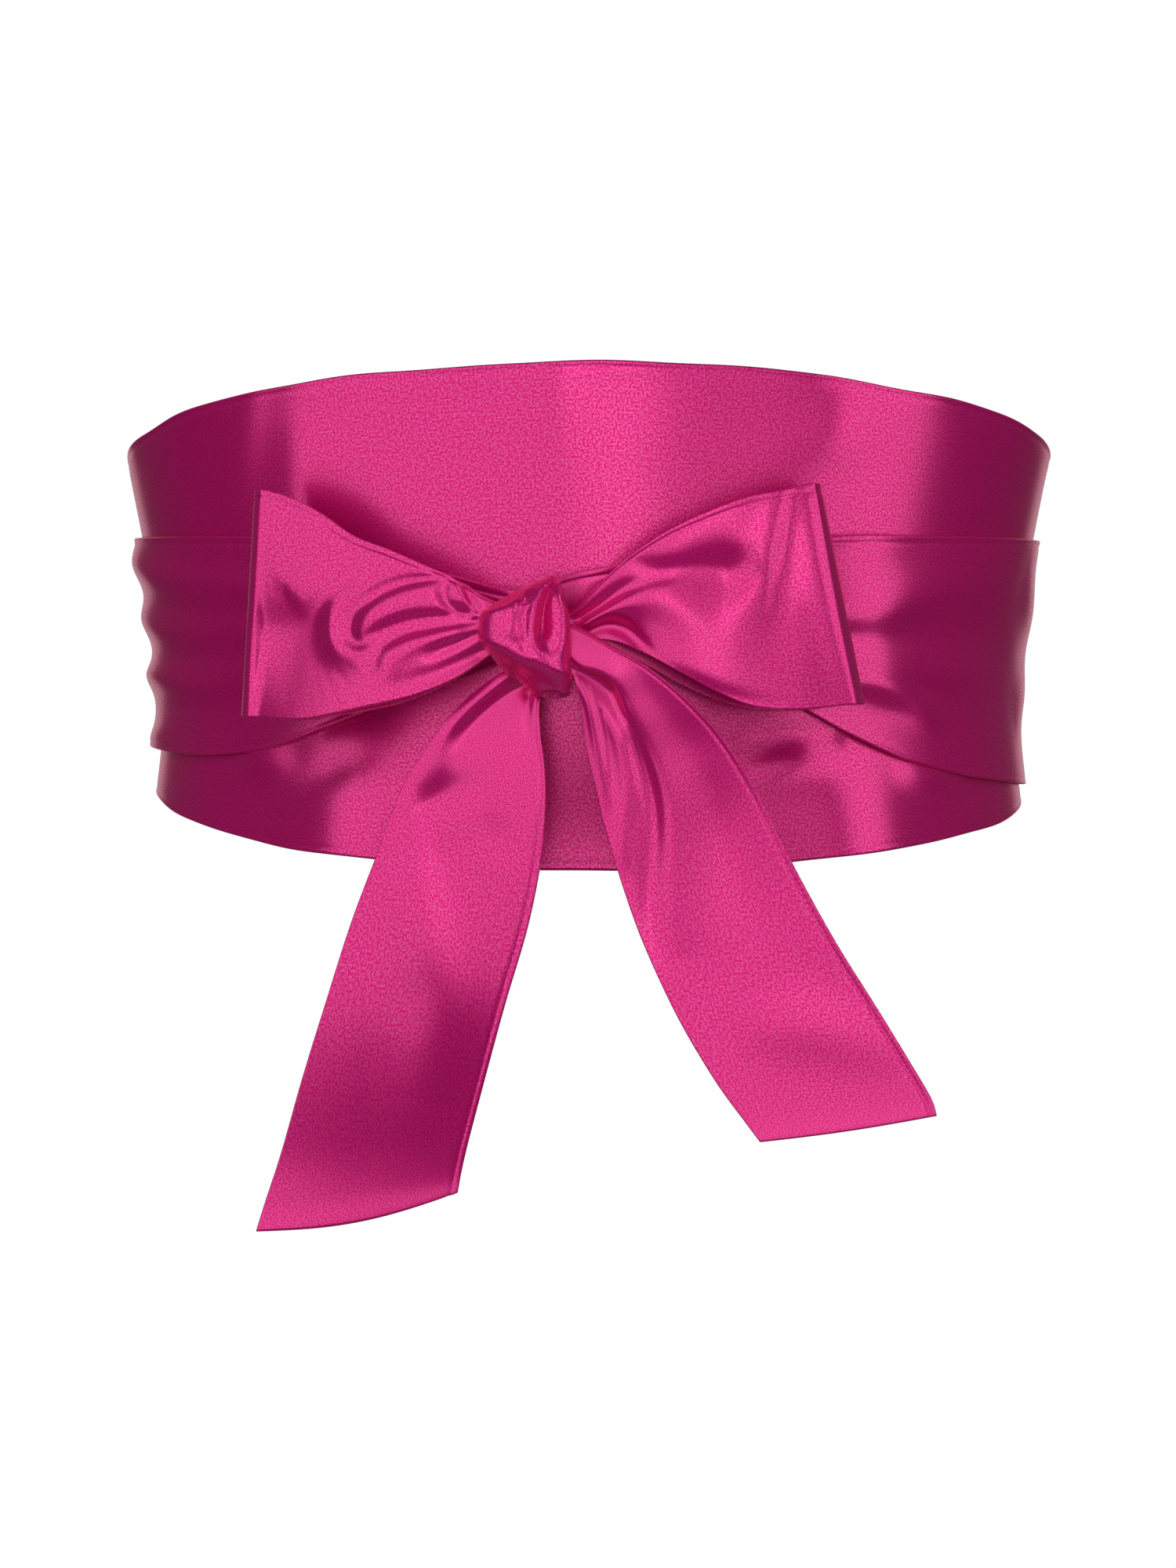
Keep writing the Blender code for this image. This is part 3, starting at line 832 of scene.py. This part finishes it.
# %% The tails
# left, left height, right, right height, left depth, right depth
LEFT_TAIL = (
    (-20.0, -14.6, -13.0, -19.6, -105.5, -105.5),
    (-22.6, -17.4, -12.6, -22.4, -105.6, -106.2),
    (-29.0, -21.8, -13.4, -28.0, -105.6, -107.4),
    (-37.4, -29.4, -13.0, -35.6, -104.8, -108.6),
    (-45.4, -40.4, -11.8, -45.0, -103.4, -109.6),
    (-52.0, -51.0, -11.6, -55.4, -102.0, -109.6),
    (-58.6, -68.4, -12.8, -70.0, -100.4, -108.2),
    (-66.0, -87.8, -16.6, -89.0, -98.8, -106.0),
    (-73.2, -110.0, -22.8, -110.0, -97.0, -103.2),
    (-80.0, -131.4, -28.6, -131.0, -95.0, -100.0),
    (-86.0, -152.0, -33.4, -149.0, -93.6, -97.4),
    (-90.6, -166.0, -35.6, -158.6, -93.4, -96.2),
    (-93.2, -174.4, -36.6, -163.6, -93.6, -96.0),
)
RIGHT_TAIL = (
    (-8.6, -13.6, -8.6, -4.4, -113.4, -113.6),
    (-5.0, -17.6, -3.6, -5.8, -113.2, -114.4),
    (-3.0, -22.4, 4.6, -10.0, -112.2, -115.2),
    (-1.6, -29.4, 16.4, -16.6, -110.8, -115.4),
    (-0.6, -38.0, 27.4, -25.4, -109.2, -114.4),
    (1.8, -48.4, 37.6, -36.4, -108.0, -112.4),
    (5.0, -62.0, 47.6, -52.4, -107.0, -110.4),
    (9.6, -77.6, 57.8, -73.0, -106.2, -108.8),
    (16.0, -95.0, 69.0, -93.2, -105.6, -107.8),
    (25.0, -114.3, 80.4, -111.4, -105.2, -107.0),
    (35.2, -131.6, 89.8, -126.8, -105.0, -106.6),
    (43.6, -143.2, 95.4, -136.4, -105.0, -106.4),
    (47.8, -148.8, 97.0, -141.4, -105.2, -106.4),
)
# crest points: side, height, rise, left, right
LEFT_TAIL_FOLDS = (
    # the rolled upper edge
    (
        (-19.0, -16.6, 1.4, 1.4, 2.0),
        (-26.0, -22.4, 2.4, 1.6, 2.6),
        (-33.0, -28.6, 2.6, 2.0, 3.0),
        (-38.6, -35.0, 2.0, 3.0, 3.4),
        (-43.0, -43.0, 1.0, 5.0, 4.0),
        (-46.0, -51.0, 0.2, 5.0, 5.0),
    ),
    # the hollow beneath it
    (
        (-14.0, -20.6, -2.2, 3.0, 1.2),
        (-21.0, -23.4, -2.6, 4.4, 1.3),
        (-28.0, -28.4, -2.4, 5.6, 1.5),
        (-34.0, -34.6, -1.4, 5.0, 2.0),
        (-37.0, -40.0, -0.3, 4.0, 3.0),
    ),
    # the dimple, sharpest at its left end
    (
        (-48.0, -57.6, -0.6, 1.8, 2.2),
        (-45.0, -55.8, -2.0, 4.4, 3.0),
        (-40.0, -53.0, -2.4, 6.0, 3.4),
        (-34.0, -49.6, -1.2, 5.0, 3.4),
        (-29.0, -46.0, 0.0, 4.0, 4.0),
    ),
    # the crest along the left, where the tail turns away
    (
        (-47.0, -60.0, 0.4, 4.0, 3.0),
        (-48.0, -68.0, 1.8, 7.0, 6.0),
        (-48.4, -80.0, 3.2, 9.0, 8.0),
        (-46.0, -94.0, 3.6, 10.0, 9.0),
        (-42.0, -108.0, 2.6, 10.0, 9.0),
        (-42.0, -124.0, 1.6, 9.0, 9.0),
        (-46.0, -138.0, 0.4, 8.0, 8.0),
    ),
    # soft hollows on the way down
    (
        (-47.0, -70.0, -0.2, 4.0, 3.0),
        (-41.4, -68.6, -0.6, 5.0, 5.0),
        (-36.0, -68.0, -0.3, 4.0, 4.0),
        (-31.0, -67.0, 0.0, 3.0, 3.0),
    ),
    ((-28.0, -56.0, 0.0, 3.0, 3.0), (-24.6, -64.0, -0.8, 3.6, 3.4), (-22.0, -72.0, 0.0, 4.0, 4.0)),
    # below its middle it swings back towards the body
    (
        (-98.0, -170.0, -6.0, 40.0, 28.0),
        (-62.0, -176.0, -8.0, 42.0, 28.0),
        (-30.0, -170.0, -7.0, 40.0, 28.0),
    ),
    # the small roll of the right edge by the knot
    (
        (-13.4, -22.4, 1.0, 1.0, 1.2),
        (-14.4, -27.0, 1.2, 1.1, 1.2),
        (-14.6, -32.0, 0.5, 1.2, 1.2),
        (-14.4, -38.0, 0.2, 1.2, 1.4),
    ),
    ((-16.6, -24.6, -0.8, 1.0, 1.0), (-17.0, -30.0, -0.7, 1.2, 1.0), (-16.4, -37.0, -0.3, 1.2, 1.2)),
)
RIGHT_TAIL_FOLDS = (
    # the upper flap, which overhangs the pocket
    (
        (-4.6, -13.6, 0.8, 3.0, 0.7),
        (-1.0, -16.4, 1.6, 4.0, 0.8),
        (4.0, -17.8, 2.2, 5.0, 0.9),
        (7.6, -20.6, 2.4, 5.0, 1.0),
        (10.4, -26.4, 2.2, 5.0, 1.2),
        (15.4, -34.6, 2.0, 6.0, 1.6),
        (19.6, -44.6, 2.0, 7.0, 1.9),
        (22.4, -54.0, 1.9, 8.0, 2.2),
        (22.8, -66.0, 1.5, 8.0, 2.6),
        (23.4, -80.0, 0.9, 9.0, 3.4),
        (27.0, -98.0, 0.0, 9.0, 5.0),
    ),
    # the pocket
    (
        (-2.6, -17.6, -1.6, 0.8, 1.6),
        (2.6, -20.6, -3.4, 1.6, 3.0),
        (6.4, -24.0, -4.0, 2.0, 3.4),
        (8.4, -28.4, -2.6, 2.0, 2.8),
        (9.4, -33.0, -0.6, 2.0, 2.0),
    ),
    # the left flap and the crease beside it
    (
        (-2.4, -21.0, 1.0, 1.4, 1.2),
        (0.4, -26.6, 1.7, 1.2, 1.4),
        (2.0, -34.0, 1.6, 1.3, 1.6),
        (3.6, -43.0, 1.2, 1.5, 1.8),
        (6.0, -54.0, 0.2, 2.0, 2.0),
    ),
    (
        (3.4, -29.0, -0.8, 1.0, 1.0),
        (5.0, -36.0, -1.3, 1.4, 1.1),
        (6.4, -44.0, -0.9, 1.6, 1.3),
        (8.0, -54.0, 0.0, 2.0, 1.8),
    ),
    # the narrow ridge
    (
        (6.6, -30.0, 0.5, 1.2, 1.4),
        (9.6, -38.0, 1.2, 1.4, 1.7),
        (11.0, -50.0, 1.5, 1.8, 2.0),
        (10.2, -61.0, 1.1, 2.2, 2.2),
        (10.6, -74.0, 0.0, 3.0, 2.6),
    ),
    # the long groove
    (
        (11.0, -31.0, -0.7, 1.2, 1.1),
        (14.2, -41.0, -1.9, 1.7, 1.6),
        (17.0, -52.0, -2.6, 2.2, 2.0),
        (18.0, -62.0, -2.6, 2.5, 2.4),
        (17.6, -74.0, -2.1, 2.8, 2.8),
        (18.0, -86.0, -1.1, 3.0, 3.4),
        (22.0, -102.0, 0.0, 4.0, 4.0),
    ),
    # broad, faint waves lower down
    (
        (32.0, -44.0, 0.0, 5.0, 5.0),
        (37.0, -60.0, -0.6, 6.0, 6.0),
        (43.0, -80.0, -0.4, 7.0, 7.0),
        (50.0, -98.0, 0.0, 7.0, 7.0),
    ),
    (
        (40.0, -118.0, 0.0, 8.0, 8.0),
        (56.0, -116.0, 0.7, 9.0, 9.0),
        (74.0, -120.0, 0.5, 8.0, 8.0),
        (88.0, -128.0, 0.0, 6.0, 6.0),
    ),
)


TAIL_WIDTH = 52.0
TAIL_RELIEF = 0.65  # of the rises that the tables give
END_ONLY = 14  # the bulge dies out this fast on the way up from the end


def tail_surface(rows, end_bulge):
    """end_bulge is how far the middle of the end hangs below its corners."""

    def surface(along, up):
        left, left_height, right, right_height, left_depth, right_depth = smooth(rows, along).T
        bulge = end_bulge * np.sin(math.pi * up) * along**END_ONLY
        height = mix(left_height, right_height, up) - bulge
        return np.stack([mix(left, right, up), mix(left_depth, right_depth, up), height], 1)

    return surface


def tail_lift(folds, length):
    """The long seam is near the right edge, the hem's near the end."""

    def lift(place, along, up):
        folded = TAIL_RELIEF * relief(folds, place[:, 0], place[:, 2])
        seam = seam_line(TAIL_WIDTH * (1 - up), inset=1.9)
        hem = seam_line(length * (1 - along), inset=2.2, strength=0.6)
        return TIE_WALL + folded + seam + hem

    return lift


def tail(name, rows, folds, length, end_bulge):
    piece = cloth(
        name,
        grid=(100, 44),
        size=(length, TAIL_WIDTH),
        wall=TIE_WALL,
        surface=tail_surface(rows, end_bulge),
        lift=tail_lift(folds, length),
        material=tie_satin,
    )
    print(name, "is", round(length), "mm long")
    return piece


tail_left = tail("tail_left_satin", LEFT_TAIL, LEFT_TAIL_FOLDS, length=166.0, end_bulge=3.0)
tail_right = tail("tail_right_satin", RIGHT_TAIL, RIGHT_TAIL_FOLDS, length=164.0, end_bulge=0.6)

# %% [markdown]
# ## The knot
#
# The knot is a stretch of tie pulled tight round the other.  From the front it is a flared piece on
# the left and a folded tongue on the right.  It starts as a ball whose rings take their width and
# depth from a table, and its pleats are the same kind of folds as everywhere else.

# %% The knot
# height, left, right, back, front
KNOT = (
    (-25.6, -12.6, -6.6, -108.0, -113.0),
    (-24.4, -15.2, -5.2, -105.6, -116.4),
    (-21.6, -18.4, -4.9, -103.8, -118.8),
    (-18.0, -23.2, -4.7, -102.8, -120.6),
    (-14.0, -26.8, -4.4, -102.2, -122.0),
    (-9.6, -30.0, -4.4, -101.9, -122.4),
    (-5.0, -30.4, -4.8, -101.9, -121.6),
    (-1.0, -29.0, -5.5, -102.0, -120.6),
    (3.0, -22.6, -6.6, -102.6, -118.6),
    (6.4, -15.6, -7.7, -104.4, -115.6),
    (8.4, -11.2, -8.6, -107.4, -112.0),
)
KNOT_FOLDS = (
    # the deep fold of the tongue
    (
        (-9.4, 7.4, -1.4, 0.8, 1.0),
        (-11.2, 1.0, -3.4, 1.6, 1.8),
        (-11.8, -5.0, -4.0, 2.2, 2.2),
        (-12.6, -10.0, -2.2, 2.4, 2.2),
        (-13.0, -13.0, 0.0, 2.0, 2.0),
    ),
    # the tongue's right half
    (
        (-8.0, 6.0, 0.4, 1.2, 1.4),
        (-7.2, -2.0, 1.0, 1.8, 2.0),
        (-7.6, -10.0, 1.2, 2.6, 2.6),
        (-9.4, -15.0, 0.4, 3.0, 3.0),
    ),
    # its left lip
    (
        (-13.4, 4.6, 0.6, 1.0, 0.8),
        (-15.0, -2.0, 1.2, 1.4, 1.0),
        (-15.6, -8.0, 1.4, 1.8, 1.4),
        (-13.6, -13.2, 1.0, 2.2, 2.2),
        (-9.6, -14.4, 0.0, 2.6, 2.6),
    ),
    # two pleat lines beside it
    ((-17.0, 4.0, -1.2, 0.7, 0.5), (-17.4, -4.0, -1.6, 0.8, 0.5), (-17.8, -12.0, -0.8, 0.7, 0.6)),
    ((-19.0, 3.4, -0.9, 0.6, 0.5), (-19.6, -4.0, -1.2, 0.6, 0.5), (-20.0, -11.0, -0.5, 0.6, 0.6)),
    # the flare's lit crest and its hollow
    ((-29.6, -3.8, 0.2, 2.0, 2.0), (-25.0, -2.6, 0.5, 3.0, 3.0), (-21.6, -1.0, 0.4, 3.0, 3.0)),
    ((-28.6, 0.6, -0.9, 1.6, 1.4), (-23.0, 2.4, -1.4, 2.0, 1.6), (-18.6, 5.6, -0.8, 1.6, 1.4)),
    # the edge over the shaded underside
    (
        (-30.0, -9.0, 0.5, 1.4, 2.2),
        (-22.0, -10.6, 1.4, 2.4, 3.0),
        (-16.0, -14.8, 1.8, 2.6, 3.6),
        (-5.6, -19.0, 1.2, 2.4, 3.0),
    ),
    ((-28.0, -15.0, -0.8, 2.6, 3.0), (-20.0, -19.0, -1.6, 3.4, 4.0), (-10.0, -24.0, -1.6, 3.6, 4.0)),
)
KNOT_RINGS = (104, 80)
KNOT_BOXY = 0.78  # how flat the knot's front is: 1 is round, less is flatter
KNOT_CLOSING = 4.0  # how fast its top and bottom close
KNOT_FRONT = 1.6  # its folds fade out round the sides: more takes them further
POLE = 0.9999  # points higher or lower than this on the ball have no direction round it
TINY = 1e-6


def knot():
    bm = bmesh.new()
    bmesh.ops.create_uvsphere(bm, u_segments=KNOT_RINGS[0], v_segments=KNOT_RINGS[1], radius=1.0)
    ball = np.array([vert.co for vert in bm.verts])
    share = np.arcsin(np.clip(ball[:, 2], -1, 1)) / math.pi + 0.5
    round_about = ball[:, :2] / np.maximum(np.hypot(ball[:, 0], ball[:, 1]), TINY)[:, None]
    round_about[np.abs(ball[:, 2]) > POLE] = 0.0
    round_about = np.sign(round_about) * np.abs(round_about) ** KNOT_BOXY
    bottom, top = KNOT[0][0], KNOT[-1][0]
    height = mix(bottom, top, 0.5 - 0.5 * np.cos(math.pi * share))
    heights = [row[0] for row in KNOT]
    table_share = np.interp(height, heights, np.linspace(0, 1, len(KNOT)))
    left, right, back, front = smooth(KNOT, table_share).T[1:]
    closing = np.clip(np.sin(math.pi * share) * KNOT_CLOSING, 0, 1)
    x = (left + right) / 2 + (right - left) / 2 * round_about[:, 0] * closing
    y = (back + front) / 2 + (back - front) / 2 * round_about[:, 1] * closing
    place = np.stack([x, y, height], 1)
    uv_layer = bm.loops.layers.uv.new("cloth")
    for face in bm.faces:
        for loop in face.loops:
            point = place[loop.vert.index]
            loop[uv_layer].uv = (point[2] * MM, point[0] * MM)
    for vert, point in zip(bm.verts, place):
        vert.co = point
    bm.normal_update()
    rise = relief(KNOT_FOLDS, x, height) * np.clip(-round_about[:, 1] * KNOT_FRONT, 0, 1)
    for vert, amount in zip(bm.verts, rise):
        vert.co = (vert.co + vert.normal * amount) * MM
    piece = object_from(bm, "bow_knot_satin", tie_satin)
    piece.data.shade_smooth()
    round_off(piece)
    return piece


bow_knot = knot()
print(bow_knot.name, len(bow_knot.data.vertices), "points before rounding")

# %% [markdown]
# ## Put each piece on the body in place of its solid
#
# Every piece rides on the only body and stands for one solid of the frame, whose part is hidden.
# Each row also lists the size its cloth was cut to, its area, how it is held and what it rests on.

# %% Pieces and sheets
Sheet = namedtuple("Sheet", "piece node flat area held rests_on")
SHEETS = (
    Sheet(panel, "front_panel", (0.53, 0.143), 0.060, "stretched", ()),
    Sheet(wrap_right, "tie_wrap_right", (0.44, 0.075), 0.0255, "stretched", ("front_panel_satin",)),
    Sheet(wrap_left, "tie_wrap_left", (0.40, 0.08), 0.0235, "stretched", ("front_panel_satin",)),
    Sheet(loop_left, "bow_loop_left", (0.150, 0.063), 0.0072, "folded", ("bow_knot_satin",)),
    Sheet(loop_right, "bow_loop_right", (0.178, 0.063), 0.0080, "folded", ("bow_knot_satin",)),
    Sheet(bow_knot, "bow_knot", (0.050, 0.030), 0.0015, "folded", ()),
    Sheet(tail_left, "tail_left", (0.053, 0.168), 0.0070, "hung", ("bow_knot_satin",)),
    Sheet(tail_right, "tail_right", (0.053, 0.166), 0.0066, "hung", ("bow_knot_satin",)),
)
for row in SHEETS:
    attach(row.piece, "root")
    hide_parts(row.node)
print(len(SHEETS), "pieces declared")

# %% [markdown]
# ## Floor, light and camera
#
# The sash is worn, so the floor is a waist's height below it.  Satin shows what it reflects: large
# soft lights stand all across the front, which makes the front bright up to a clear line where
# the cloth turns away, and two more behind give its outermost edges a pale gleam.

# %% Floor
FLOOR_HEIGHT = -1.7
FLOOR_SIZE = 40.0
FLOOR_GREY = (0.6, 0.6, 0.6, 1.0)


def floor_material():
    material = bpy.data.materials.new("pale floor")
    material.use_nodes = True
    nodes, links = material.node_tree.nodes, material.node_tree.links
    shader = nodes["Principled BSDF"]
    shader.inputs["Base Color"].default_value = FLOOR_GREY
    shader.inputs["Roughness"].default_value = 0.9
    glow = nodes.new("ShaderNodeEmission")
    seen = nodes.new("ShaderNodeLightPath")
    choose = nodes.new("ShaderNodeMixShader")
    links.new(seen.outputs["Is Camera Ray"], choose.inputs["Fac"])
    links.new(shader.outputs["BSDF"], choose.inputs[1])
    links.new(glow.outputs["Emission"], choose.inputs[2])
    links.new(choose.outputs["Shader"], nodes["Material Output"].inputs["Surface"])
    return material


bm = bmesh.new()
bmesh.ops.create_grid(bm, x_segments=2, y_segments=2, size=FLOOR_SIZE / 2)
bmesh.ops.translate(bm, vec=(0.0, 0.0, FLOOR_HEIGHT), verts=bm.verts)
floor = object_from(bm, "floor", floor_material())
print("floor at", FLOOR_HEIGHT, "m")

# %% Soft lights
Softbox = namedtuple("Softbox", "name turn far wide low high glow lean")
SOFTBOXES = (  # turn round the sash in degrees, + to the right; metres; watts from a square metre
    Softbox("front", 18.0, 1.9, 1.2, -0.7, 2.6, 2.6, 0.0),
    Softbox("front left", -31.0, 1.7, 2.7, -0.7, 2.6, 3.95, 20.0),
    Softbox("front right", 64.0, 1.7, 0.95, -0.66, 2.6, 4.6, -12.0),
    Softbox("back left", -158.0, 2.4, 1.0, -0.6, 1.6, 1.7, 0.0),
    Softbox("back right", 158.0, 2.4, 1.0, -0.6, 1.6, 1.7, 0.0),
)


def softbox(box):
    light = bpy.data.lights.new(box.name, "AREA")
    light.shape = "RECTANGLE"
    light.size, light.size_y = box.wide, box.high - box.low
    light.energy = box.glow * light.size * light.size_y
    lamp = bpy.data.objects.new(box.name, light)
    turn = math.radians(box.turn)
    away = Vector((math.sin(turn), -math.cos(turn), 0.0))
    lamp.location = away * box.far + Vector((0.0, 0.0, (box.high + box.low) / 2))
    lean = Quaternion(away, math.radians(box.lean))
    lamp.rotation_euler = (lean @ away.to_track_quat("Z", "Y")).to_euler()
    lamp.visible_camera = False
    bpy.context.scene.collection.objects.link(lamp)


for row in SOFTBOXES:
    softbox(row)

WHITE = (1.0, 1.0, 1.0, 1.0)
STUDIO_GLOW = 0.08  # from all round, for what the cloth sees; the camera sees plain white
world = bpy.data.worlds.new("studio")
bpy.context.scene.world = world
world.use_nodes = True
world_nodes, world_links = world.node_tree.nodes, world.node_tree.links
dim = world_nodes["Background"]
dim.inputs["Color"].default_value = WHITE
dim.inputs["Strength"].default_value = STUDIO_GLOW
white = world_nodes.new("ShaderNodeBackground")
white.inputs["Color"].default_value = WHITE
world_seen = world_nodes.new("ShaderNodeLightPath")
world_mix = world_nodes.new("ShaderNodeMixShader")
world_links.new(world_seen.outputs["Is Camera Ray"], world_mix.inputs["Fac"])
world_links.new(dim.outputs["Background"], world_mix.inputs[1])
world_links.new(white.outputs["Background"], world_mix.inputs[2])
world_links.new(world_mix.outputs["Shader"], world_nodes["World Output"].inputs["Surface"])
bpy.context.scene.view_settings.view_transform = "Standard"
print(len(SOFTBOXES), "soft lights")

# %% Camera
CAMERA_FAR = 2.2
CAMERA_HEIGHT = -0.0492
SEEN_HEIGHT = 0.458  # of the sash's own plane, from the bottom of the image to its top
SENSOR = 36.0

camera_data = bpy.data.cameras.new("camera")
camera_data.sensor_width = SENSOR
camera_data.lens = SENSOR * CAMERA_FAR / SEEN_HEIGHT
camera = bpy.data.objects.new("camera", camera_data)
camera.location = (0.0, -CAMERA_FAR, CAMERA_HEIGHT)
camera.rotation_euler = (math.pi / 2, 0.0, 0.0)
bpy.context.scene.collection.objects.link(camera)
bpy.context.scene.camera = camera
print("lens", round(camera_data.lens, 1), "mm")
